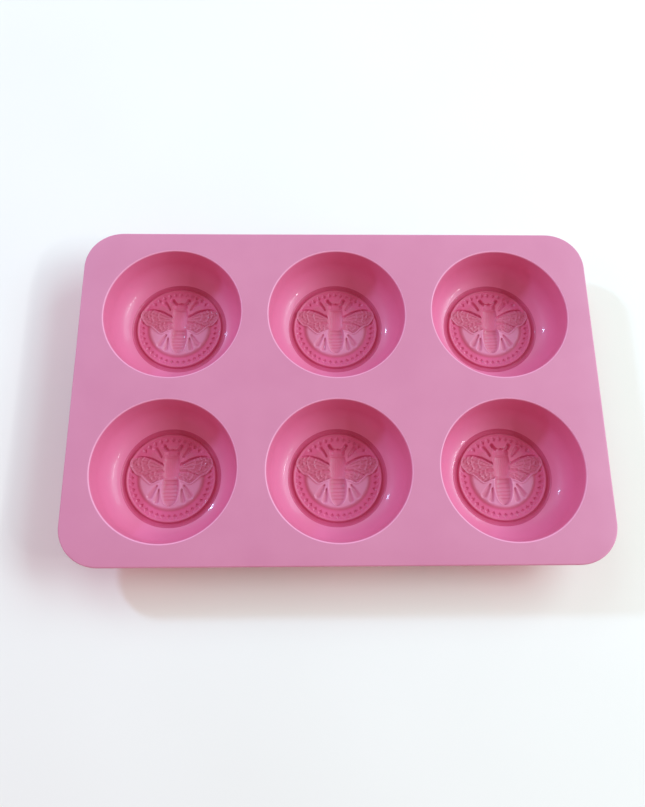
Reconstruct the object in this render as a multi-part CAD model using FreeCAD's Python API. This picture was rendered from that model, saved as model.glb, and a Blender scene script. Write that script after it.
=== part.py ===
import FreeCAD, Part
import math
import os

# Six-cavity round silicone soap mould with a bee relief in the floor of each cup.
# Millimetres, +Z up. The origin is at the centre of the footprint, on the plane
# that the cups stand on: +X along the tray's length, -Y towards its front.
# The real tray is one moulding. Its solids meet face to face at natural bounds:
# the flat deck, the six cup walls and the six round relief floors.

Vector = FreeCAD.Vector

# ---- tray ----
TRAY_LENGTH = 270.0
TRAY_WIDTH = 178.0
TRAY_CORNER_RADIUS = 20.0
TRAY_HEIGHT = 25.0
DECK_THICKNESS = 2.5
DECK_EDGE_ROUNDING = 0.7

# ---- cups ----
CUP_COLUMNS = {"left": -1.0, "middle": 0.0, "right": 1.0}
CUP_ROWS = {"front": -0.5, "back": 0.5}
CUP_PITCH_X = 86.5
CUP_PITCH_Y = 84.0
RIM_RADIUS = 36.0
RIM_ROUNDING = 0.9
WALL_THICKNESS = 2.5
WALL_DRAFT = math.radians(6.0)
FLOOR_SLOPE = math.radians(20.0)

# ---- relief floor ----
FLOOR_RADIUS = 26.0
GROOVE_INNER_RADIUS = 23.4
RIDGE_WIDTH = 0.9
DISC_RADIUS = 17.6
GROOVE_DEPTH = 1.1
RIDGE_HEIGHT = 0.35
BAND_DROP = 0.25
DISC_RISE = 1.0
DISC_FLANK = 0.7

# ---- bee, sunk into the raised disc ----
BEE_DEPTH = 1.6
WING_DEPTH = 1.25
LIMB_DEPTH = 0.6
SEGMENT_DEPTH = 0.3
SEGMENT_HEIGHTS = (-5.4, -8.0, -10.6)
SEGMENT_WIDTH = 0.9

# ---- beads round the border band ----
BEAD_COUNT = 40
BEAD_RING_RADIUS = 20.4
BEAD_RADIUS = 0.6
BEAD_DEPTH = 0.35

# ---- cup profile, worked out from the sizes above ----
# The wall runs down at its draft into one large fillet, which ends on the floor's
# edge at FLOOR_SLOPE. The outside is the same curve one wall further out, so the
# bottom of the outer fillet lies on the plane z = 0.
FILLET_RADIUS = (
    RIM_RADIUS - FLOOR_RADIUS - (TRAY_HEIGHT - WALL_THICKNESS) * math.tan(WALL_DRAFT)
) / (1.0 / math.cos(WALL_DRAFT) - math.tan(WALL_DRAFT) - math.sin(FLOOR_SLOPE))
OUTER_FILLET_RADIUS = FILLET_RADIUS + WALL_THICKNESS
FILLET_CENTRE_X = FLOOR_RADIUS - FILLET_RADIUS * math.sin(FLOOR_SLOPE)
FILLET_CENTRE_Z = OUTER_FILLET_RADIUS
FLOOR_EDGE_Z = FILLET_CENTRE_Z - FILLET_RADIUS * math.cos(FLOOR_SLOPE)
DECK_UNDERSIDE_Z = TRAY_HEIGHT - DECK_THICKNESS

# ---- relief levels ----
GROOVE_Z = FLOOR_EDGE_Z - GROOVE_DEPTH
RIDGE_Z = FLOOR_EDGE_Z + RIDGE_HEIGHT
BAND_Z = FLOOR_EDGE_Z - BAND_DROP
DISC_Z = BAND_Z + DISC_RISE


def wall_radius(z):
    """Inner radius of the drafted wall at height z, above the fillet."""
    return RIM_RADIUS - (TRAY_HEIGHT - z) * math.tan(WALL_DRAFT)


def outer_wall_radius(z):
    """Outer radius of the drafted wall at height z."""
    return wall_radius(z) + WALL_THICKNESS / math.cos(WALL_DRAFT)


def fillet_point(radius, angle):
    """Point on a fillet circle, at an angle from straight down towards the wall."""
    x = FILLET_CENTRE_X + radius * math.sin(angle)
    z = FILLET_CENTRE_Z - radius * math.cos(angle)
    return Vector(x, 0, z)


def line(start, end):
    return Part.LineSegment(start, end).toShape()


def fillet_arc(radius, start_angle, end_angle):
    middle_angle = (start_angle + end_angle) / 2.0
    points = [fillet_point(radius, a) for a in (start_angle, middle_angle, end_angle)]
    return Part.Arc(*points).toShape()


def revolve(edges):
    """Solid of revolution about +Z from a closed outline in the XZ plane."""
    face = Part.Face(Part.Wire(edges))
    return face.revolve(Vector(0, 0, 0), Vector(0, 0, 1), 360)


def polyline(points):
    return [line(a, b) for a, b in zip(points, points[1:])]


def rounded_plate(length, width, corner_radius, bottom, thickness):
    plate = Part.makeBox(length, width, thickness, Vector(-length / 2, -width / 2, bottom))
    corners = [e for e in plate.Edges if abs(e.tangentAt(e.FirstParameter).z) > 0.99]
    return plate.makeFillet(corner_radius, corners)


def cup_places():
    for row, row_step in CUP_ROWS.items():
        for column, column_step in CUP_COLUMNS.items():
            place = Vector(column_step * CUP_PITCH_X, row_step * CUP_PITCH_Y, 0)
            yield f"{row}_{column}", place


def outer_edges(plate, z):
    """Edges of the plate's outline at height z, without the cup holes."""
    flat = [f for f in plate.Faces if abs(f.CenterOfMass.z - z) < 1e-6]
    face = max(flat, key=lambda f: f.Area)
    return face.OuterWire.Edges


def make_deck():
    """Flat sheet with round corners and a drafted hole over each cup."""
    deck = rounded_plate(
        TRAY_LENGTH, TRAY_WIDTH, TRAY_CORNER_RADIUS, DECK_UNDERSIDE_Z, DECK_THICKNESS
    )
    deck = deck.makeFillet(DECK_EDGE_ROUNDING, outer_edges(deck, TRAY_HEIGHT))
    hole = revolve(hole_outline())
    for _, place in cup_places():
        deck = deck.cut(hole.translated(place))
    return deck


def hole_outline():
    """Hole through the deck: the drafted wall, opened by a round rim at the top."""
    turn = math.pi / 2 - WALL_DRAFT
    setback = RIM_ROUNDING * math.tan(turn / 2)
    centre = Vector(RIM_RADIUS + setback, 0, TRAY_HEIGHT - RIM_ROUNDING)
    angles = (math.pi / 2, math.pi / 2 + turn / 2, math.pi / 2 + turn)
    rim = [
        centre + Vector(RIM_ROUNDING * math.cos(a), 0, RIM_ROUNDING * math.sin(a))
        for a in angles
    ]
    top = TRAY_HEIGHT + 1.0
    bottom = DECK_UNDERSIDE_Z - 1.0
    return [
        Part.Arc(*rim).toShape(),
        *polyline([rim[-1], Vector(wall_radius(bottom), 0, bottom), Vector(0, 0, bottom)]),
        *polyline([Vector(0, 0, bottom), Vector(0, 0, top), Vector(rim[0].x, 0, top), rim[0]]),
    ]


def make_cup_wall():
    """Wall and curved lower ring of a cup, from the deck down to the relief floor."""
    upright = math.pi / 2 - WALL_DRAFT
    outer_floor_angle = math.asin((FLOOR_RADIUS - FILLET_CENTRE_X) / OUTER_FILLET_RADIUS)
    inner_top = Vector(wall_radius(DECK_UNDERSIDE_Z), 0, DECK_UNDERSIDE_Z)
    outer_top = Vector(outer_wall_radius(DECK_UNDERSIDE_Z), 0, DECK_UNDERSIDE_Z)
    return revolve(
        [
            line(inner_top, fillet_point(FILLET_RADIUS, upright)),
            fillet_arc(FILLET_RADIUS, upright, FLOOR_SLOPE),
            line(
                fillet_point(FILLET_RADIUS, FLOOR_SLOPE),
                fillet_point(OUTER_FILLET_RADIUS, outer_floor_angle),
            ),
            fillet_arc(OUTER_FILLET_RADIUS, outer_floor_angle, upright),
            line(fillet_point(OUTER_FILLET_RADIUS, upright), outer_top),
            line(outer_top, inner_top),
        ]
    )


def make_floor_blank():
    """Round floor with its groove, ridge, border band and raised disc."""
    outer_floor_angle = math.asin((FLOOR_RADIUS - FILLET_CENTRE_X) / OUTER_FILLET_RADIUS)
    bottom_edge = fillet_point(OUTER_FILLET_RADIUS, outer_floor_angle)
    bottom_flat = fillet_point(OUTER_FILLET_RADIUS, 0.0)
    ridge_inner = GROOVE_INNER_RADIUS - RIDGE_WIDTH
    tops = [
        bottom_flat,
        Vector(0, 0, 0),
        Vector(0, 0, DISC_Z),
        Vector(DISC_RADIUS - DISC_FLANK, 0, DISC_Z),
        Vector(DISC_RADIUS, 0, BAND_Z),
        Vector(ridge_inner - RIDGE_HEIGHT, 0, BAND_Z),
        Vector(ridge_inner, 0, RIDGE_Z),
        Vector(GROOVE_INNER_RADIUS, 0, RIDGE_Z),
        Vector(GROOVE_INNER_RADIUS + GROOVE_DEPTH / 2, 0, GROOVE_Z),
        Vector(FLOOR_RADIUS - GROOVE_DEPTH / 4, 0, GROOVE_Z),
        fillet_point(FILLET_RADIUS, FLOOR_SLOPE),
        bottom_edge,
    ]
    return revolve(polyline(tops) + [fillet_arc(OUTER_FILLET_RADIUS, outer_floor_angle, 0.0)])


def mirrored(points):
    return [(-x, y) for x, y in reversed(points)]


def pocket(outline, floor_z):
    """Cutter with a vertical wall: the outline, from floor_z up past the relief."""
    corners = [Vector(x, y, floor_z) for x, y in outline]
    face = Part.Face(Part.Wire(polyline(corners + corners[:1])))
    return face.extrude(Vector(0, 0, TRAY_HEIGHT / 2))


def stroke(start, end, width, floor_z):
    """Cutter for a straight limb of one width, from start to end."""
    run_x, run_y = end[0] - start[0], end[1] - start[1]
    run = math.hypot(run_x, run_y)
    side_x, side_y = -run_y / run * width / 2, run_x / run * width / 2
    outline = [
        (start[0] + side_x, start[1] + side_y),
        (start[0] - side_x, start[1] - side_y),
        (end[0] - side_x, end[1] - side_y),
        (end[0] + side_x, end[1] + side_y),
    ]
    return pocket(outline, floor_z)


def bee_cutters():
    """Body, four wings, antennae and legs of a bee with its head towards +Y."""
    body_right = [
        (1.6, 15.4), (2.6, 14.8), (3.4, 13.0), (3.2, 10.4), (3.9, 8.0), (4.3, 4.5),
        (4.0, 1.4), (3.3, -0.4), (4.0, -2.6), (4.1, -5.6), (3.5, -9.0), (2.2, -12.2),
        (0.9, -14.2),
    ]
    forewing = [
        (4.8, 7.6), (8.0, 9.4), (11.5, 10.9), (15.0, 11.6), (18.0, 11.4), (20.4, 9.6),
        (20.6, 7.4), (19.0, 5.0), (16.6, 3.0), (14.0, 1.4), (12.4, 2.2), (8.6, 3.2),
        (4.8, 4.0),
    ]
    hindwing = [
        (4.6, 3.2), (8.8, 2.6), (12.4, 1.4), (13.0, 0.2), (11.4, -1.8), (9.6, -2.9),
        (7.4, -2.0), (5.0, -0.6),
    ]
    limbs = [
        ((2.2, 15.0), (4.6, 17.6), 0.9),
        ((6.2, 11.0), (8.8, 15.0), 1.2),
        ((8.4, -4.6), (11.4, -9.8), 1.2),
        ((5.8, -5.2), (7.0, -12.8), 1.0),
    ]
    cutters = [pocket(body_right + mirrored(body_right), DISC_Z - BEE_DEPTH)]
    for wing in (forewing, hindwing):
        cutters.append(pocket(wing, DISC_Z - WING_DEPTH))
        cutters.append(pocket(mirrored(wing), DISC_Z - WING_DEPTH))
    for start, end, width in limbs:
        for side in (1, -1):
            left_or_right = [(side * x, y) for x, y in (start, end)]
            cutters.append(stroke(*left_or_right, width, DISC_Z - LIMB_DEPTH))
    for y in SEGMENT_HEIGHTS:
        half_width = 3.9 + (y - SEGMENT_HEIGHTS[0]) / 4.0
        floor_z = DISC_Z - BEE_DEPTH - SEGMENT_DEPTH
        cutters.append(stroke((-half_width, y), (half_width, y), SEGMENT_WIDTH, floor_z))
    return cutters


def bead_cutters():
    """Ring of small round pockets in the border band, clear of the wings."""
    cutters = []
    for n in range(BEAD_COUNT):
        angle = 2 * math.pi * n / BEAD_COUNT
        x, y = BEAD_RING_RADIUS * math.sin(angle), BEAD_RING_RADIUS * math.cos(angle)
        if 0.0 < y < 13.0:
            continue
        base = Vector(x, y, BAND_Z - BEAD_DEPTH)
        cutters.append(Part.makeCylinder(BEAD_RADIUS, TRAY_HEIGHT / 2, base))
    return cutters


def make_relief_floor():
    """Floor disc that presses a raised bee and a beaded border into the soap."""
    return make_floor_blank().cut(bee_cutters() + bead_cutters())


def export(name, shape):
    if not shape.isValid() or len(shape.Solids) != 1:
        raise ValueError(f"{name} is not one valid solid")
    shape.exportStep(os.path.join("parts", f"{name}.step"))
    box = shape.BoundBox
    print(f"{name}: {shape.Volume:.0f} mm3, z {box.ZMin:.2f} to {box.ZMax:.2f}")


def main():
    os.makedirs("parts", exist_ok=True)
    export("deck_sheet", make_deck().Solids[0])
    cup_wall = make_cup_wall().Solids[0]
    relief_floor = make_relief_floor().Solids[0]
    for where, place in cup_places():
        export(f"cup_wall_{where}", cup_wall.translated(place))
        export(f"bee_floor_{where}", relief_floor.translated(place))


main()
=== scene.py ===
import math

import bmesh
import bpy
import numpy as np
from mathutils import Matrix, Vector


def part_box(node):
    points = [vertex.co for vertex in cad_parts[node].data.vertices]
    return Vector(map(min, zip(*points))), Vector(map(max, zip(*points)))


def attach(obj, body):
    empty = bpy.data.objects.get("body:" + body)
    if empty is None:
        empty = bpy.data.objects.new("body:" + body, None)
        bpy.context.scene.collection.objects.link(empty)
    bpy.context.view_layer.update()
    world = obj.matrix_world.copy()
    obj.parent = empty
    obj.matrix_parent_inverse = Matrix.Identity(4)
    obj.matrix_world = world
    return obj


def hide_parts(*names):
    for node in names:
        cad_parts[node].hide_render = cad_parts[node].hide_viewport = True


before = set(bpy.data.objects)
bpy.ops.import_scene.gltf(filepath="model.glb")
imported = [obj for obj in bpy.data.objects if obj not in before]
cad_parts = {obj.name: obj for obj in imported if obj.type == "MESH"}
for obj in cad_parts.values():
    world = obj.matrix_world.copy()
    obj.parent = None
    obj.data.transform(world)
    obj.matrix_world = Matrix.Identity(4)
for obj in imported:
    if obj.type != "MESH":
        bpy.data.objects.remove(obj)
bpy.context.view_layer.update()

# Sizes are in millimetres, in the frame's axes: +X along the tray, -Y its front, +Z up.
MM = 0.001
ROWS = ("front", "back")
COLUMNS = ("left", "middle", "right")


def size_of(node):
    low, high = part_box(node)
    return (high - low) / MM


def middle_of(node):
    low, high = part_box(node)
    return (low + high) / 2 / MM


# ---- sizes from the frame ----
TRAY_LENGTH, TRAY_WIDTH, DECK_THICKNESS = size_of("deck_sheet")
TRAY_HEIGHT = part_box("deck_sheet")[1].z / MM
DECK_UNDERSIDE = TRAY_HEIGHT - DECK_THICKNESS
CUP_PITCH_X = middle_of("bee_floor_front_right").x - middle_of("bee_floor_front_middle").x
CUP_PITCH_Y = middle_of("bee_floor_back_middle").y - middle_of("bee_floor_front_middle").y
FLOOR_RADIUS = size_of("bee_floor_front_middle").x / 2

# ---- shape of the moulding ----
TRAY_CORNER_RADIUS = 20.0
DECK_TOP_ROUNDING = 0.7
DECK_BOTTOM_ROUNDING = 0.3
RIM_RADIUS = 36.0
RIM_ROUNDING = 0.9
WALL_THICKNESS = 2.5
WALL_DRAFT = math.radians(6.0)
FLOOR_SLOPE = math.radians(20.0)
OUTER_CORNER_RADIUS = 1.6
FILLET_RADIUS = (
    RIM_RADIUS - FLOOR_RADIUS - (TRAY_HEIGHT - WALL_THICKNESS) * math.tan(WALL_DRAFT)
) / (1.0 / math.cos(WALL_DRAFT) - math.tan(WALL_DRAFT) - math.sin(FLOOR_SLOPE))
OUTER_FILLET_RADIUS = FILLET_RADIUS + WALL_THICKNESS
FILLET_CENTRE_X = FLOOR_RADIUS - FILLET_RADIUS * math.sin(FLOOR_SLOPE)
FILLET_CENTRE_Z = OUTER_FILLET_RADIUS
FLOOR_EDGE_Z = FILLET_CENTRE_Z - FILLET_RADIUS * math.cos(FLOOR_SLOPE)
OUTER_FLOOR_ANGLE = math.asin((FLOOR_RADIUS - FILLET_CENTRE_X) / OUTER_FILLET_RADIUS)

# ---- droop and waviness of the soft deck ----
DROOP = 0.45
DROOP_START_X, DROOP_REACH_X = 122.0, 13.0
DROOP_START_Y, DROOP_REACH_Y = 77.0, 10.5
DROOP_LIMIT = 1.2
WAVINESS = 0.09

# ---- shares of the way from a hole's edge to the outline, for the deck's rings ----
UNDERSIDE_SHARES = (1, 0.96, 0.8, 0.6, 0.4, 0.2)
TOP_SHARES = (0.012, 0.06, 0.13, 0.22, 0.34, 0.46, 0.58, 0.7, 0.82, 0.92, 0.985, 1)
# painted highlight along the tray's rounded outer edge, as a share of the rim's highlight colour
EDGE_HIGHLIGHT_SHARE = 0.2

# ---- relief floor ----
GROOVE_Z = FLOOR_EDGE_Z - 0.6
RIDGE_Z = FLOOR_EDGE_Z + 0.35
BAND_Z = FLOOR_EDGE_Z - 0.25
DISC_Z = BAND_Z + 0.9
DISC_CROWN = 0.1
DISC_RADIUS = 17.6
DISC_BACK_RISE = 0.25
RIDGE_INNER_EDGE = (21.9, 22.6)
RIDGE_OUTER_EDGE = (23.0, 23.6)
GROOVE_OUTER_EDGE = (25.2, 25.75)
BEAD_COUNT = 40
BEAD_RING_RADIUS = 20.3
BEAD_HALF_WIDTH = 1.2
BEAD_HALF_LENGTH = 1.45
BEAD_DEPTH = 0.5
WING_Z = BAND_Z - 0.25
WING_LIP_HEIGHT = 0.4
WING_HOLLOW_DEPTH = 0.9
WING_SPLIT_DEPTH = 0.35
VEIN_HEIGHT = 0.3
VEIN_WIDTH = 0.34
PUCKER_HEIGHT = 0.1
LIP_OFFSET = 0.45
LIP_WIDTH = 0.42
BODY_DEPTH = 2.2
ABDOMEN_BAND_DEPTH = 0.22
ABDOMEN_LIP_HEIGHT = 0.22
ABDOMEN_LIP_OFFSET = 0.5

# ---- tones of the relief, from 0 in the groove to 1 on the frosted disc; they paint shade into the hollows and light onto the lips and the disc's front ----
BAND_TONE = 0.25
RIDGE_TONE = 0.4
BACK_TONE = 0.4
WING_TONE = 0.5
BODY_TONE = 0.4
TAIL_TONE = 0.68
WALL_TONE = 0.4

# ---- mesh density ----
SIDE_STEPS = 48
ROUND_STEPS = 4 * SIDE_STEPS
FLOOR_GRID = 240


# ================= mesh helpers =================

def smooth_step(value, start, end):
    t = np.clip((value - start) / (end - start), 0.0, 1.0)
    return t * t * (3.0 - 2.0 * t)


def settled(points):
    """The soft deck droops a little past the cups and isn't quite flat; the cups' feet stay put."""
    x, y, z = points[:, 0], points[:, 1], points[:, 2]
    past_x = np.maximum(np.abs(x) - DROOP_START_X, 0) / DROOP_REACH_X
    past_y = np.maximum(np.abs(y) - DROOP_START_Y, 0) / DROOP_REACH_Y
    droop = DROOP * np.minimum(np.hypot(past_x, past_y), DROOP_LIMIT) ** 2
    wave = np.sin(x / 31.0 + 0.6) * np.cos(y / 23.0) + np.sin(y / 37.0 + x / 53.0)
    ripple = WAVINESS * (2 + wave)
    settled_points = points.copy()
    settled_points[:, 2] -= (droop + ripple) * (z / TRAY_HEIGHT) ** 2
    return settled_points


def ring_strip(first, second, count):
    """Quads between two closed rings of vertices that start at the given indices."""
    return [
        (first + i, first + (i + 1) % count, second + (i + 1) % count, second + i)
        for i in range(count)
    ]


def make_piece(name, points, faces, node, material, shares=None, sharp_angle=50.0):
    """One visible piece. shares maps the name of an attribute to its value at each point."""
    mesh = bpy.data.meshes.new(name)
    mesh.from_pydata((settled(np.asarray(points)) * MM).tolist(), [], faces)
    for share, values in (shares or {}).items():
        mesh.attributes.new(share, "FLOAT", "POINT").data.foreach_set("value", values)
    work = bmesh.new()
    work.from_mesh(mesh)
    bmesh.ops.remove_doubles(work, verts=work.verts, dist=1e-7)
    bmesh.ops.recalc_face_normals(work, faces=work.faces)
    work.to_mesh(mesh)
    work.free()
    mesh.shade_smooth()
    mesh.set_sharp_from_angle(angle=math.radians(sharp_angle))
    piece = bpy.data.objects.new(name, mesh)
    bpy.context.collection.objects.link(piece)
    mesh.materials.append(material)
    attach(piece, "root")
    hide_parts(node)
    return piece


# ================= cup profile =================

def wall_radius(z):
    return RIM_RADIUS - (TRAY_HEIGHT - z) * math.tan(WALL_DRAFT)


def outer_wall_radius(z):
    return wall_radius(z) + WALL_THICKNESS / math.cos(WALL_DRAFT)


def fillet_points(radius, start, end, steps):
    angles = np.linspace(start, end, steps)
    x = FILLET_CENTRE_X + radius * np.sin(angles)
    z = FILLET_CENTRE_Z - radius * np.cos(angles)
    return list(zip(x, z))


def line_points(start, end, steps):
    """Points from start to end, without the two ends."""
    return [
        (start[0] + (end[0] - start[0]) * t, start[1] + (end[1] - start[1]) * t)
        for t in np.linspace(0, 1, steps + 1)[1:-1]
    ]


def cup_outline():
    """Closed outline of the cup's wall in radius and height, inside then outside."""
    upright = math.pi / 2 - WALL_DRAFT
    inner_top = (wall_radius(DECK_UNDERSIDE), DECK_UNDERSIDE)
    inner = fillet_points(FILLET_RADIUS, upright, FLOOR_SLOPE, 30)
    outer = fillet_points(OUTER_FILLET_RADIUS, OUTER_FLOOR_ANGLE, upright, 26)
    flare_start = DECK_UNDERSIDE - OUTER_CORNER_RADIUS
    flare_x = outer_wall_radius(flare_start) + OUTER_CORNER_RADIUS
    flare = [
        (
            flare_x - OUTER_CORNER_RADIUS * math.cos(a),
            flare_start + OUTER_CORNER_RADIUS * math.sin(a),
        )
        for a in np.linspace(0, math.pi / 2, 8)
    ]
    return (
        [inner_top]
        + line_points(inner_top, inner[0], 5)
        + inner
        + line_points(inner[-1], outer[0], 3)
        + outer
        + line_points(outer[-1], flare[0], 4)
        + flare
        + line_points(flare[-1], inner_top, 3)
    )


def revolved(outline, centre):
    """Points and faces of a closed outline turned once about the cup's axis."""
    outline = np.asarray(outline)
    angles = -math.pi / 4 + 2 * math.pi * np.arange(ROUND_STEPS) / ROUND_STEPS
    rings = []
    for radius, z in outline:
        x = centre[0] + radius * np.cos(angles)
        y = centre[1] + radius * np.sin(angles)
        rings.append(np.column_stack([x, y, np.full(ROUND_STEPS, z)]))
    faces = []
    for n in range(len(outline)):
        following = (n + 1) % len(outline)
        faces += ring_strip(n * ROUND_STEPS, following * ROUND_STEPS, ROUND_STEPS)
    return np.vstack(rings), faces


# ================= deck =================

class Cell:
    """The rectangle of deck round one cup, out to its neighbours or to the tray's edge."""

    def __init__(self, row, column):
        step_x, step_y = COLUMNS.index(column) - 1, ROWS.index(row) - 0.5
        self.centre = (step_x * CUP_PITCH_X, step_y * CUP_PITCH_Y)
        self.right, self.back = column == "right", row == "back"
        self.left, self.front = column == "left", row == "front"
        self.outer_sides = (self.right, self.back, self.left, self.front)

    def outline(self, inset):
        """Points round the cell, starting at its front right corner and going round to the left."""
        x_high = TRAY_LENGTH / 2 - inset if self.right else self.centre[0] + CUP_PITCH_X / 2
        x_low = inset - TRAY_LENGTH / 2 if self.left else self.centre[0] - CUP_PITCH_X / 2
        y_high = TRAY_WIDTH / 2 - inset if self.back else 0.0
        y_low = inset - TRAY_WIDTH / 2 if self.front else 0.0
        corners = np.array([(x_high, y_low), (x_high, y_high), (x_low, y_high), (x_low, y_low)])
        steps = np.arange(SIDE_STEPS)[:, None] / SIDE_STEPS
        sides = [corners[n] + (corners[(n + 1) % 4] - corners[n]) * steps for n in range(4)]
        points = np.vstack(sides)
        if self.left or self.right:
            self.round_corner(points, TRAY_CORNER_RADIUS - inset, inset)
        return points

    def round_corner(self, points, radius, inset):
        """Moves the points next to the tray's corner onto its arc."""
        sign = np.array([1 if self.right else -1, 1 if self.back else -1])
        half = np.array([TRAY_LENGTH / 2 - inset, TRAY_WIDTH / 2 - inset])
        centre = sign * (half - radius)
        past = (points - centre) * sign
        near = (past > 1e-9).all(axis=1)
        along_x = past[near, 1] >= past[near, 0]
        eighth = math.pi / 4
        turn = np.where(
            along_x,
            past[near, 0] / radius * eighth,
            math.pi / 2 - past[near, 1] / radius * eighth,
        )
        points[near] = centre + sign * radius * np.column_stack([np.sin(turn), np.cos(turn)])


def rim_arc():
    """Round edge of a cup's hole, from the wall up to the flat top, as radius and height."""
    turn = math.pi / 2 - WALL_DRAFT
    setback = RIM_ROUNDING * math.tan(turn / 2)
    centre_x, centre_z = RIM_RADIUS + setback, TRAY_HEIGHT - RIM_ROUNDING
    return [
        (centre_x + RIM_ROUNDING * math.cos(a), centre_z + RIM_ROUNDING * math.sin(a))
        for a in np.linspace(math.pi / 2 + turn, math.pi / 2, 9)
    ]


def deck_rings(cell):
    """Rings of one cell, from the underside's outline through the hole to the top's outline.

    With each ring go its shares of cavity gloss, painted a deeper pink as shade, and of the rim's
    painted highlight.
    """
    angles = -math.pi / 4 + 2 * math.pi * np.arange(ROUND_STEPS) / ROUND_STEPS
    unit = np.column_stack([np.cos(angles), np.sin(angles)])

    def circle(radius, z):
        return np.column_stack([cell.centre + radius * unit, np.full(ROUND_STEPS, z)])

    def between(inner, outline, share):
        flat = inner[:, :2] * (1 - share) + outline * share
        return np.column_stack([flat, inner[:, 2]])

    lower = circle(wall_radius(DECK_UNDERSIDE), DECK_UNDERSIDE)
    below = cell.outline(DECK_BOTTOM_ROUNDING)
    rings = [(between(lower, below, share), 0, 0) for share in UNDERSIDE_SHARES]
    arc = rim_arc()
    wall = line_points((wall_radius(DECK_UNDERSIDE), DECK_UNDERSIDE), arc[0], 3)
    # the hole's wall takes the cups' deeper pink, which is painted shade
    rings += [(lower, 1, 0)] + [(circle(r, z), 1, 0) for r, z in wall]
    for n, (r, z) in enumerate(arc):
        turned = n / (len(arc) - 1)
        # painted highlight: a pale band along the middle of the rim's rounding
        highlight = smooth_step(turned, 0.1, 0.5) * (1 - smooth_step(turned, 0.75, 1.0))
        rings.append((circle(r, z), 1 - smooth_step(turned, 0, 0.6), highlight))
    above = cell.outline(DECK_TOP_ROUNDING)
    inner = rings[-1][0]
    for share in TOP_SHARES:
        rings.append((between(inner, above, share), 0, 0))
    return rings


def deck_edge_rings(cell):
    """Rings round the tray's rounded edge, from the top's outline to the underside's."""
    rings = []
    for a in np.linspace(math.pi / 2, 0, 7):
        inset = DECK_TOP_ROUNDING * (1 - math.cos(a))
        z = TRAY_HEIGHT - DECK_TOP_ROUNDING * (1 - math.sin(a))
        rings.append((inset, z))
    for a in np.linspace(0, -math.pi / 2, 4):
        inset = DECK_BOTTOM_ROUNDING * (1 - math.cos(a))
        z = DECK_UNDERSIDE + DECK_BOTTOM_ROUNDING * (1 + math.sin(a))
        rings.append((inset, z))
    # the edge rings carry a share of the rim's painted highlight
    return [
        (np.column_stack([cell.outline(inset), np.full(ROUND_STEPS, z)]), 0, EDGE_HIGHLIGHT_SHARE)
        for inset, z in rings
    ]


def make_deck(material):
    """The flat sheet: one ring of strips round each hole, and the tray's rounded edge."""
    rings, faces = [], []
    for row in ROWS:
        for column in COLUMNS:
            cell = Cell(row, column)
            for strip_rings, whole in ((deck_rings(cell), True), (deck_edge_rings(cell), False)):
                for n in range(len(strip_rings) - 1):
                    start = (len(rings) + n) * ROUND_STEPS
                    strip = ring_strip(start, start + ROUND_STEPS, ROUND_STEPS)
                    faces += [
                        face
                        for i, face in enumerate(strip)
                        if whole or cell.outer_sides[i // SIDE_STEPS]
                    ]
                rings += strip_rings
    points = np.vstack([ring for ring, _, _ in rings])
    gloss_and_shade = np.repeat([gloss_and_shade for _, gloss_and_shade, _ in rings], ROUND_STEPS).astype(float)
    highlight = np.repeat([highlight for _, _, highlight in rings], ROUND_STEPS).astype(float)
    used = np.unique(np.array(faces))
    renumbered = np.zeros(len(points), int)
    renumbered[used] = np.arange(len(used))
    faces = renumbered[np.array(faces)].tolist()
    shares = {"gloss_and_shade_share": gloss_and_shade[used], "highlight_share": highlight[used]}
    return make_piece(
        "deck_sheet_moulding", points[used], faces, "deck_sheet", material, shares
    )


def make_cup_wall(where, centre, material):
    points, faces = revolved(cup_outline(), centre)
    node = f"cup_wall_{where}"
    return make_piece(f"{node}_moulding", points, faces, node, material)


# ================= bee relief =================

WING_LEADING = [(4.4, 7.4), (6.4, 8.5), (9.3, 10.1), (12.8, 11.3), (16.0, 11.7), (18.4, 11.2)]
WING_TIP = [(20.4, 9.4), (20.9, 7.2)]
WING_TRAILING = [(19.9, 4.8), (18.1, 2.6), (16.4, 1.6), (15.1, 1.2), (12.9, -0.9)]
HINDWING_EDGE = [(10.3, -3.0), (8.6, -2.7), (7.0, -1.9), (4.6, -1.1)]
WING_OUTLINE = WING_LEADING + WING_TIP + WING_TRAILING + HINDWING_EDGE + [(3.2, 0.4), (3.2, 5.0)]
WING_VEINS = [
    [(4.4, 6.1), (8.0, 7.5), (12.0, 8.9), (16.0, 9.3), (19.6, 8.4)],
    [(4.4, 5.3), (8.0, 6.0), (12.0, 6.8), (15.8, 6.4), (19.8, 5.4)],
    [(4.4, 4.6), (8.0, 4.7), (11.4, 4.6), (14.6, 3.6), (17.0, 2.2)],
    [(8.0, 4.7), (11.0, 3.3), (14.4, 1.4)],
    [(11.4, 9.9), (12.4, 7.6), (11.6, 4.9)],
    [(14.8, 11.2), (16.0, 8.6), (14.9, 3.8)],
    [(17.6, 10.6), (18.0, 7.8), (17.2, 5.6)],
    [(4.4, 2.3), (8.2, 1.6), (12.0, -0.6)],
    [(4.4, 1.5), (7.4, 0.0), (10.4, -2.6)],
    [(8.8, 3.9), (9.0, 1.4), (8.0, -0.4)],
    [(11.2, 3.2), (11.4, 1.0), (10.0, -1.0)],
    [(6.4, 2.2), (6.2, 0.4), (6.8, -1.6)],
]
WING_SPLIT = [(4.4, 3.3), (8.0, 3.2), (11.0, 2.2), (14.6, 0.9)]
LIMBS = [
    ([(2.4, 14.4), (3.5, 15.2), (4.5, 16.8)], 1.2, 1.4, 1.5),
    ([(5.9, 11.2), (7.0, 12.6), (9.0, 15.2)], 0.9, 1.7, 1.0),
    ([(7.0, -4.4), (8.4, -6.6), (10.4, -9.9)], 0.8, 2.0, 0.8),
    ([(5.9, -6.4), (6.3, -9.4), (6.9, -12.4)], 0.7, 1.8, 0.8),
]
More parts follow.
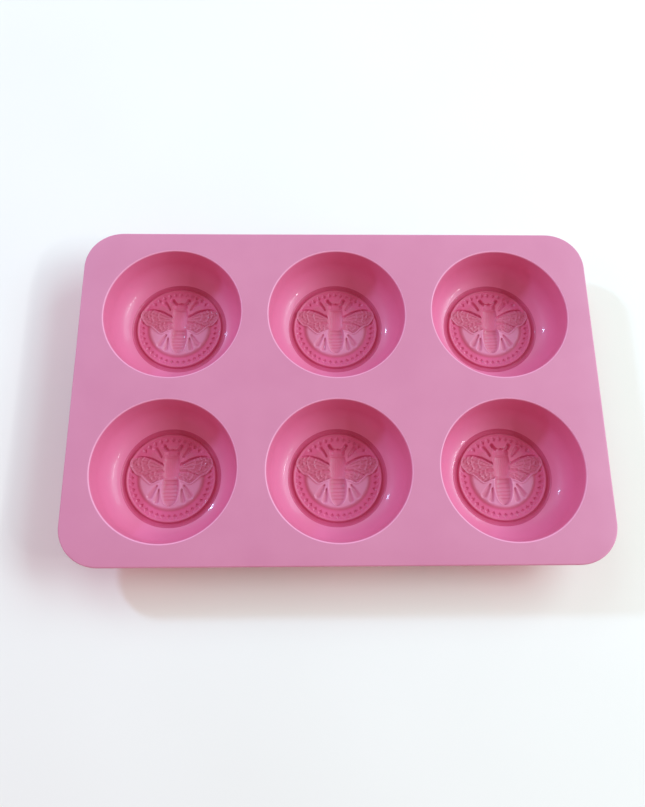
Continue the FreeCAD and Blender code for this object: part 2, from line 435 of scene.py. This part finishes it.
BODY_HALF_WIDTHS = [
    (15.2, 0.0), (15.0, 2.6), (14.2, 3.9), (12.8, 4.3), (11.5, 4.1), (10.8, 4.1), (9.4, 4.4),
    (7.0, 4.7), (4.0, 4.7), (1.5, 4.5), (-0.4, 4.0), (-1.0, 3.9), (-2.4, 4.3), (-5.0, 4.5),
    (-8.0, 4.3), (-11.0, 3.7), (-13.0, 2.9), (-14.2, 1.9), (-14.8, 1.0), (-15.0, 0.0),
]
ABDOMEN_TOP = -0.7
ABDOMEN_BANDS = (-3.6, -6.0, -8.0, -9.9, -11.7)
HEAD_BOTTOM = 11.2


def rounded_path(points, closed=False, steps=6):
    """Catmull-Rom curve through the points."""
    points = np.asarray(points, float)
    count = len(points)
    spans = count if closed else count - 1
    curve = []
    for n in range(spans):
        before, start = points[(n - 1) % count], points[n]
        end, after = points[(n + 1) % count], points[(n + 2) % count]
        if not closed and n == 0:
            before = 2 * start - end
        if not closed and n == spans - 1:
            after = 2 * end - start
        for t in np.arange(steps) / steps:
            curve.append(
                0.5
                * (
                    2 * start
                    + (end - before) * t
                    + (2 * before - 5 * start + 4 * end - after) * t**2
                    + (3 * start - before - 3 * end + after) * t**3
                )
            )
    if not closed:
        curve.append(points[-1])
    return np.array(curve)


def path_distance(path, x, y):
    """Distance from each place to the path, and how far along it the nearest point lies, 0 to 1."""
    nearest = np.full(x.shape, np.inf)
    along = np.zeros(x.shape)
    spans = len(path) - 1
    for n in range(spans):
        (x0, y0), (x1, y1) = path[n], path[n + 1]
        run = (x1 - x0) ** 2 + (y1 - y0) ** 2
        t = np.clip(((x - x0) * (x1 - x0) + (y - y0) * (y1 - y0)) / max(run, 1e-12), 0, 1)
        distance = np.hypot(x - x0 - t * (x1 - x0), y - y0 - t * (y1 - y0))
        closer = distance < nearest
        nearest = np.where(closer, distance, nearest)
        along = np.where(closer, (n + t) / spans, along)
    return nearest, along


def inside_outline(path, x, y):
    """Whether each place lies inside the closed outline."""
    inside = np.zeros(x.shape, bool)
    for n in range(len(path)):
        (x0, y0), (x1, y1) = path[n], path[(n + 1) % len(path)]
        if y0 == y1:
            continue
        crosses = (y0 > y) != (y1 > y)
        inside ^= crosses & (x < x0 + (y - y0) * (x1 - x0) / (y1 - y0))
    return inside


def plate_height(r, y):
    """Height of the round plate before the bee is sunk into it. The disc rises towards its front."""
    crown = DISC_CROWN * np.clip(1 - (r / DISC_RADIUS) ** 2, 0, 1)
    front = DISC_BACK_RISE + (1 - DISC_BACK_RISE) * smooth_step(-y, -9.0, 1.0)
    rise = (DISC_Z + crown - BAND_Z) * front
    z = BAND_Z + rise * (1 - smooth_step(r, DISC_RADIUS - 2.4, DISC_RADIUS + 0.5))
    z = z + (RIDGE_Z - BAND_Z) * smooth_step(r, *RIDGE_INNER_EDGE)
    z = z + (GROOVE_Z - RIDGE_Z) * smooth_step(r, *RIDGE_OUTER_EDGE)
    edge = FLOOR_EDGE_Z - (FLOOR_RADIUS - r) * math.tan(FLOOR_SLOPE)
    return z + (edge - GROOVE_Z) * smooth_step(r, *GROOVE_OUTER_EDGE)


def plate_tone(r, y):
    """Tone of the plate, painted shade and light: 0, darkest, in the groove, paler on the ridge,
    palest on the disc's front part, which is painted lit, and darker on its back.
    """
    # painted light: the disc's front is painted palest and its back darker, as light falls on it
    front = smooth_step(-y, -5.0, 3.0)
    tone = BAND_TONE + (BACK_TONE + (1 - BACK_TONE) * front - BAND_TONE) * (
        1 - smooth_step(r, DISC_RADIUS - 2.2, DISC_RADIUS + 0.3)
    )
    tone = tone + (RIDGE_TONE - BAND_TONE) * smooth_step(r, 22.1, 22.6)
    # painted shade: the groove is painted darkest
    return tone * (1 - smooth_step(r, 23.2, 23.7))


def bead_share(x, y, r):
    """1 in the middle of each small lozenge of the border band, 0 between them."""
    step = 2 * math.pi / BEAD_COUNT
    angle = np.arctan2(x, y)
    nearest = np.round(angle / step)
    across = (angle - nearest * step) * BEAD_RING_RADIUS
    lozenge = np.abs(across) / BEAD_HALF_WIDTH + np.abs(r - BEAD_RING_RADIUS) / BEAD_HALF_LENGTH
    return 1 - smooth_step(lozenge, 0.4, 1.1)


def ridge_line(path, x, y, width):
    """1 on the curve through the points, fading to 0 on both sides of it."""
    distance, _ = path_distance(rounded_path(path), x, y)
    return np.exp(-((distance / width) ** 2))


def outside_wing(side, y):
    """Distance outside the wing's outline, negative inside it."""
    outline = rounded_path(WING_OUTLINE, closed=True)
    edge, _ = path_distance(np.vstack([outline, outline[:1]]), side, y)
    return np.where(inside_outline(outline, side, y), -edge, edge)


def sink_wings(side, y, z, tone, wing_distance):
    """Wings with raised veins, a deep front edge and a raised lip round the free edges; the lip is a
    painted highlight and the sunken wing, its split and its front edge carry painted shade.
    """
    beyond, _ = path_distance(rounded_path(WING_TIP + WING_TRAILING + HINDWING_EDGE), side, y)
    lip = np.exp(-(((beyond - LIP_OFFSET) / LIP_WIDTH) ** 2))
    lip = lip * (wing_distance > -0.2) * smooth_step(side, 4.0, 6.0)
    z = z + WING_LIP_HEIGHT * lip
    # painted highlight: the lip is painted pale
    tone = tone + (1 - tone) * 0.8 * lip

    veins = sum(ridge_line(vein, side, y, VEIN_WIDTH) for vein in WING_VEINS)
    veins = np.minimum(veins, 1)
    split = ridge_line(WING_SPLIT, side, y, 0.45)
    puckers = np.sin(side * 2.3 + 1.5 * np.sin(y * 1.1)) * np.sin(y * 2.7 + side * 0.6)
    lead, along = path_distance(rounded_path(WING_LEADING), side, y)
    hollow = np.exp(-((lead / (1.1 - 0.4 * along)) ** 2)) * (0.75 + 0.25 * np.sin(along * math.pi))
    raised = PUCKER_HEIGHT * puckers + VEIN_HEIGHT * veins
    wing = WING_Z + raised - WING_SPLIT_DEPTH * split - WING_HOLLOW_DEPTH * hollow
    # painted shade: the sunken wing, its split and its hollow front edge are painted darker, its
    # raised veins paler
    wing_tone = WING_TONE + 0.12 * veins - 0.06 * puckers - 0.1 * split
    wing_tone = wing_tone * (1 - 0.85 * hollow)
    inside = smooth_step(-wing_distance, -0.15, 0.45)
    return z + (wing - z) * inside, tone + (wing_tone - tone) * inside


def sink_limbs(side, y, z, tone, wing_distance):
    """Antennae and legs as short strokes that fade out on the wings."""
    for path, root_width, end_width, depth in LIMBS:
        distance, along = path_distance(rounded_path(path), side, y)
        width = root_width + (end_width - root_width) * along
        stroke = 1 - smooth_step(distance / width, 0.2, 1.0)
        stroke = stroke * smooth_step(wing_distance, -0.1, 0.5)
        z = z - depth * stroke
        # painted shade: each stroke is painted darker by its depth
        tone = tone * (1 - 0.3 * depth * stroke)
    return z, tone


def sink_body(side, y, z, tone):
    """Head, thorax and banded abdomen as one round hollow, with a raised lip beside the abdomen."""
    heights, widths = np.array(BODY_HALF_WIDTHS[::-1]).T
    half_width = np.interp(y, heights, widths, left=0.0, right=0.0)
    share = side / np.maximum(half_width, 1e-3)
    bowl = np.clip(1 - share**2, 0, 1) ** 0.45
    bands = sum(np.exp(-(((y - band) / 0.36) ** 2)) for band in ABDOMEN_BANDS)
    neck = np.exp(-(((y - HEAD_BOTTOM) / 0.5) ** 2))
    waist = np.exp(-(((y - ABDOMEN_TOP) / 0.6) ** 2))
    thorax = smooth_step(y, 0.5, 2.0) * (1 - smooth_step(y, 9.0, 11.0))
    fur = np.sin(side * 7.0 + np.sin(y * 2.3)) * thorax
    eyes = np.exp(-(((side - 2.5) / 0.75) ** 2 + ((y - 13.1) / 0.95) ** 2))
    taper = 1 - 0.45 * smooth_step(-y, 2.0, 13.0)
    depth = BODY_DEPTH * taper * (1 - 0.25 * neck - 0.2 * waist)
    depth = depth + 0.04 * fur + 0.3 * eyes + ABDOMEN_BAND_DEPTH * bands
    body = DISC_Z - depth * bowl
    # painted shade: the deep hollow of head and thorax is painted darker than the shallower tail;
    # the bands and the head are darker still
    body_tone = BODY_TONE + (TAIL_TONE - BODY_TONE) * smooth_step(-y, -4.0, 9.0)
    body_tone = body_tone * (1 - 0.35 * bands - 0.4 * smooth_step(y, 11.0, 14.5)) + 0.05 * fur
    rear = smooth_step(-y, 1.0, 4.0) * (y > -15.0)
    lip = rear * np.exp(-(((side - half_width - ABDOMEN_LIP_OFFSET) / LIP_WIDTH) ** 2))
    z = z + ABDOMEN_LIP_HEIGHT * lip
    # painted highlight: the abdomen's lip is painted pale
    tone = tone + (1 - tone) * 0.7 * lip
    sunk = (half_width > 0) & (share < 1) & (body < z)
    blend = smooth_step(1 - share, 0.0, 0.25) * sunk
    return np.where(sunk, body, z), tone + (body_tone - tone) * blend


def round_grid(steps):
    """Evenly spaced places in a unit disc as a square grid, so that every ring is round."""
    line = np.linspace(-1, 1, steps + 1)
    a, b = np.meshgrid(line, line)
    wide = np.abs(a) >= np.abs(b)
    radius = np.where(wide, a, b)
    safe_a, safe_b = np.where(a == 0, 1, a), np.where(b == 0, 1, b)
    angle = np.where(wide, math.pi / 4 * b / safe_a, math.pi / 2 - math.pi / 4 * a / safe_b)
    return radius * np.cos(angle), radius * np.sin(angle)


def border_indices(steps):
    """Grid indices round the square's edge, in order, counter-clockwise from its first corner."""
    row = steps + 1
    bottom = list(range(steps))
    right = [steps + j * row for j in range(steps)]
    top = [steps * row + steps - i for i in range(steps)]
    left = [(steps - j) * row for j in range(steps)]
    return bottom + right + top + left


def relief_surface():
    """Points of the relief and the tone at each of them, for one cup. The bee's head is at +Y."""
    x, y = round_grid(FLOOR_GRID)
    x, y = x.ravel() * FLOOR_RADIUS, y.ravel() * FLOOR_RADIUS
    r = np.hypot(x, y)
    side = np.abs(x)
    wing_distance = outside_wing(side, y)
    beads = bead_share(x, y, r) * smooth_step(wing_distance, 0.6, 1.6)
    z = plate_height(r, y) - BEAD_DEPTH * beads
    # painted shade: the sunken lozenges are painted darker
    tone = plate_tone(r, y) * (1 - 0.45 * beads)
    z, tone = sink_wings(side, y, z, tone, wing_distance)
    z, tone = sink_limbs(side, y, z, tone, wing_distance)
    z, tone = sink_body(side, y, z, tone)
    return np.column_stack([x, y, z]), np.clip(tone, 0, 1)


def relief_faces():
    row = FLOOR_GRID + 1
    return [
        (j * row + i, j * row + i + 1, (j + 1) * row + i + 1, (j + 1) * row + i)
        for j in range(FLOOR_GRID)
        for i in range(FLOOR_GRID)
    ]


def make_bee_floor(where, centre, relief, relief_tone, material):
    """The relief disc, closed by its rim and the flat foot that the tray stands on."""
    border = border_indices(FLOOR_GRID)
    count = len(border)
    edge = relief[border]
    skirt = []
    foot = fillet_points(OUTER_FILLET_RADIUS, OUTER_FLOOR_ANGLE, 0.0, 6)
    for radius, z in foot + [(FILLET_CENTRE_X * 0.5, 0.0)]:
        ring = edge * (radius / FLOOR_RADIUS)
        ring[:, 2] = z
        skirt.append(ring)
    points = np.vstack([relief] + skirt + [np.zeros((1, 3))])
    faces = relief_faces()
    inner = border
    start = len(relief)
    for n in range(len(skirt)):
        outer = [start + n * count + i for i in range(count)]
        faces += [
            (inner[(i + 1) % count], inner[i], outer[i], outer[(i + 1) % count])
            for i in range(count)
        ]
        inner = outer
    middle = len(points) - 1
    faces += [(inner[(i + 1) % count], inner[i], middle) for i in range(count)]
    tone = np.concatenate([relief_tone, np.full(len(points) - len(relief), WALL_TONE)])
    points = points + np.array([centre[0], centre[1], 0.0])
    node = f"bee_floor_{where}"
    return make_piece(
        f"{node}_moulding", points, faces, node, material, {"tone": tone}, 65.0
    )


# ================= materials =================

class Shader:
    """A Principled material and small helpers for its nodes."""

    def __init__(self, name):
        self.material = bpy.data.materials.new(name)
        self.material.use_nodes = True
        self.nodes = self.material.node_tree.nodes
        self.links = self.material.node_tree.links
        self.surface = self.nodes["Principled BSDF"]
        self.place = self.nodes.new("ShaderNodeTexCoord").outputs["Object"]

    def noise(self, scale, detail, stretch=(1, 1, 1)):
        mapping = self.nodes.new("ShaderNodeMapping")
        mapping.inputs["Scale"].default_value = stretch
        self.links.new(self.place, mapping.inputs["Vector"])
        texture = self.nodes.new("ShaderNodeTexNoise")
        texture.inputs["Scale"].default_value = scale
        texture.inputs["Detail"].default_value = detail
        self.links.new(mapping.outputs["Vector"], texture.inputs["Vector"])
        return texture.outputs["Fac"]

    def ramp(self, value, stops):
        ramp = self.nodes.new("ShaderNodeValToRGB")
        ramp.color_ramp.elements[0].position = stops[0][0]
        ramp.color_ramp.elements[0].color = (*stops[0][1], 1)
        ramp.color_ramp.elements[1].position = stops[-1][0]
        ramp.color_ramp.elements[1].color = (*stops[-1][1], 1)
        for position, colour in stops[1:-1]:
            ramp.color_ramp.elements.new(position).color = (*colour, 1)
        self.links.new(value, ramp.inputs["Fac"])
        return ramp.outputs["Color"]

    def share(self, name):
        """The mesh attribute of that name, 0 to 1."""
        attribute = self.nodes.new("ShaderNodeAttribute")
        attribute.attribute_name = name
        return attribute.outputs["Fac"]

    def mixed(self, share, first, second):
        """The first colour where the share is 0, the second where it is 1."""
        mix = self.nodes.new("ShaderNodeMix")
        mix.data_type = "RGBA"
        self.links.new(share, mix.inputs["Factor"])
        for socket, colour in ((mix.inputs["A"], first), (mix.inputs["B"], second)):
            if isinstance(colour, tuple):
                socket.default_value = (*colour, 1)
            else:
                self.links.new(colour, socket)
        return mix.outputs["Result"]

    def between(self, value, low, high):
        """A value from 0 to 1, spread from low to high."""
        span = self.nodes.new("ShaderNodeMapRange")
        span.inputs["To Min"].default_value = low
        span.inputs["To Max"].default_value = high
        self.links.new(value, span.inputs["Value"])
        return span.outputs["Result"]

    def bump(self, height, distance, normal=None):
        bump = self.nodes.new("ShaderNodeBump")
        bump.inputs["Distance"].default_value = distance
        self.links.new(height, bump.inputs["Height"])
        if normal:
            self.links.new(normal, bump.inputs["Normal"])
        return bump.outputs["Normal"]


# A material's grain and ripple are depths in metres; its clouds differ by very little.
SATIN_PALE = (0.69, 0.232, 0.355)
SATIN_DEEP = (0.66, 0.213, 0.335)
# Painted shade: the cups' walls and the holes' walls take a deeper, redder pink than the deck, for
# light bounced round inside the cups, beside their real gloss.
GLOSS_SHADED_PALE = (0.78, 0.18, 0.335)
GLOSS_SHADED_DEEP = (0.75, 0.165, 0.315)
# Painted highlight colour for the rim line and, at a share, for the tray's outer edge.
RIM_HIGHLIGHT = (0.88, 0.34, 0.51)
# Colours along the tone: the deep ones are painted shade for the groove and hollows, the pale ones
# frosted and painted light.
RELIEF_TONES = [
    (0.0, (0.58, 0.055, 0.155)),
    (0.25, (0.68, 0.095, 0.225)),
    (0.5, (0.58, 0.105, 0.185)),
    (0.75, (0.62, 0.145, 0.245)),
    (1.0, (0.68, 0.215, 0.34)),
]
SATIN_CLOUDS = [(0.3, SATIN_DEEP), (0.7, SATIN_PALE)]
GLOSS_SHADED_CLOUDS = [(0.3, GLOSS_SHADED_DEEP), (0.7, GLOSS_SHADED_PALE)]
FLOOR_CLOUDS = [(0.3, (0.93, 0.84, 0.77)), (0.7, (0.96, 0.87, 0.8))]
CLOUD_SCALE = 38.0
WORLD_COLOUR = (1.0, 0.7, 0.66)
WORLD_STRENGTH = 0.45
LIGHT_DISTANCE = 1.6


def silicone(name, grain, ripple):
    """Silicone rubber: a fine moulded grain on a surface that isn't quite even."""
    shader = Shader(name)
    fine = shader.bump(shader.noise(2600.0, 2.0), grain)
    wave = shader.bump(shader.noise(70.0, 1.0), ripple, fine)
    shader.links.new(wave, shader.surface.inputs["Normal"])
    shader.surface.inputs["IOR"].default_value = 1.41
    shader.surface.inputs["Coat Roughness"].default_value = 0.08
    return shader


def satin_deck():
    """Matt deck that turns glossy inside the holes, where it is painted a deeper pink as shade, with
    a painted highlight on the rim round each.
    """
    shader = silicone("satin_silicone", grain=0.000012, ripple=0.0002)
    gloss_and_shade = shader.share("gloss_and_shade_share")
    cloud = shader.noise(CLOUD_SCALE, 3.0)
    matt = shader.ramp(cloud, SATIN_CLOUDS)
    # painted shade: deeper pink on the holes' walls
    inside = shader.ramp(cloud, GLOSS_SHADED_CLOUDS)
    body = shader.mixed(gloss_and_shade, matt, inside)
    # painted highlight on the rims and, at a share, on the tray's outer edge
    colour = shader.mixed(shader.share("highlight_share"), body, RIM_HIGHLIGHT)
    shader.links.new(colour, shader.surface.inputs["Base Color"])
    shader.links.new(shader.between(gloss_and_shade, 0.5, 0.4), shader.surface.inputs["Roughness"])
    return shader.material


def gloss_and_shade_wall():
    """Smooth, slightly glossy walls of the cups, painted a deeper, redder pink than the deck as
    shade inside the cups.
    """
    shader = silicone("gloss_silicone", grain=0.000004, ripple=0.00015)
    colour = shader.ramp(shader.noise(CLOUD_SCALE, 3.0), GLOSS_SHADED_CLOUDS)
    shader.links.new(colour, shader.surface.inputs["Base Color"])
    roughness = shader.between(shader.noise(120.0, 4.0), 0.4, 0.5)
    shader.links.new(roughness, shader.surface.inputs["Roughness"])
    shader.surface.inputs["Coat Weight"].default_value = 0.16
    return shader.material


def frosted_and_shaded_relief():
    """Relief painted deep pink as shade in its hollows and pale where the raised disc is frosted,
    with painted light on the disc's front and painted highlights on the lips.
    """
    shader = silicone("frosted_and_shaded_relief_silicone", grain=0.000008, ripple=0.0001)
    tone = shader.share("tone")
    colour = shader.ramp(tone, RELIEF_TONES)
    haze = shader.between(shader.noise(500.0, 3.0), 0.0, 0.16)
    cloudy = shader.mixed(haze, colour, SATIN_PALE)
    shader.links.new(cloudy, shader.surface.inputs["Base Color"])
    shader.links.new(shader.between(tone, 0.42, 0.55), shader.surface.inputs["Roughness"])
    shader.surface.inputs["Coat Weight"].default_value = 0.08
    return shader.material


satin = satin_deck()
gloss_and_shade = gloss_and_shade_wall()
frosted_and_shaded = frosted_and_shaded_relief()

# ================= the tray =================

make_deck(satin)
relief, relief_tone = relief_surface()
for row in ROWS:
    for column in COLUMNS:
        where = f"{row}_{column}"
        centre = middle_of(f"bee_floor_{where}")
        make_cup_wall(where, centre, gloss_and_shade)
        make_bee_floor(where, centre, relief, relief_tone, frosted_and_shaded)


# ================= stage, light and camera =================

def make_floor():
    shader = Shader("pale_floor")
    tint = shader.ramp(shader.noise(6.0, 2.0), FLOOR_CLOUDS)
    shader.links.new(tint, shader.surface.inputs["Base Color"])
    shader.surface.inputs["Roughness"].default_value = 0.9
    bpy.ops.mesh.primitive_plane_add(size=6.0, location=(0, 0, -0.0002))
    floor = bpy.context.object
    floor.name = "pale_floor"
    floor.data.materials.append(shader.material)


def add_light(name, azimuth, elevation, size, power, colour):
    """Soft area light that faces the tray. Azimuth is from +Y towards +X, in degrees."""
    a, e = math.radians(azimuth), math.radians(elevation)
    away = Vector((math.sin(a) * math.cos(e), math.cos(a) * math.cos(e), math.sin(e)))
    data = bpy.data.lights.new(name, "AREA")
    data.shape = "RECTANGLE"
    data.size, data.size_y = size
    data.energy = power
    data.color = colour
    light = bpy.data.objects.new(name, data)
    bpy.context.collection.objects.link(light)
    light.location = away * LIGHT_DISTANCE
    light.rotation_mode = "QUATERNION"
    light.rotation_quaternion = (-away).to_track_quat("-Z", "Y")


def add_camera():
    """Above the tray's front, looking steeply down and slightly to the right."""
    data = bpy.data.cameras.new("camera")
    data.lens = 31.3
    camera = bpy.data.objects.new("camera", data)
    bpy.context.collection.objects.link(camera)
    camera.location = Vector((-16.0, -113.4, TRAY_HEIGHT + 339.1)) * MM
    camera.rotation_euler = [math.radians(turn) for turn in (17.2, -1.2, -0.47)]
    bpy.context.scene.camera = camera


make_floor()
add_light("key_right", 70, 38, (1.4, 0.7), 21.3, (0.52, 0.92, 1.0))
add_light("strip_right", 90, 36, (0.6, 0.04), 4.5, (0.8, 0.95, 1.0))
add_light("spot_right", 108, 37, (0.07, 0.07), 2.4, (0.8, 0.95, 1.0))
add_light("window_back_left", -55, 34, (0.1, 0.14), 10.0, (0.4, 0.66, 1.0))
add_light("fill_back", -20, 45, (0.8, 0.6), 4.0, (0.5, 0.85, 0.95))
add_light("fill_left", -90, 35, (0.8, 0.6), 2.2, (0.7, 0.6, 1.0))
add_camera()

world = bpy.data.worlds.new("studio")
world.use_nodes = True
background = world.node_tree.nodes["Background"]
background.inputs["Color"].default_value = (*WORLD_COLOUR, 1)
background.inputs["Strength"].default_value = WORLD_STRENGTH
bpy.context.scene.world = world
bpy.context.scene.view_settings.view_transform = "Standard"
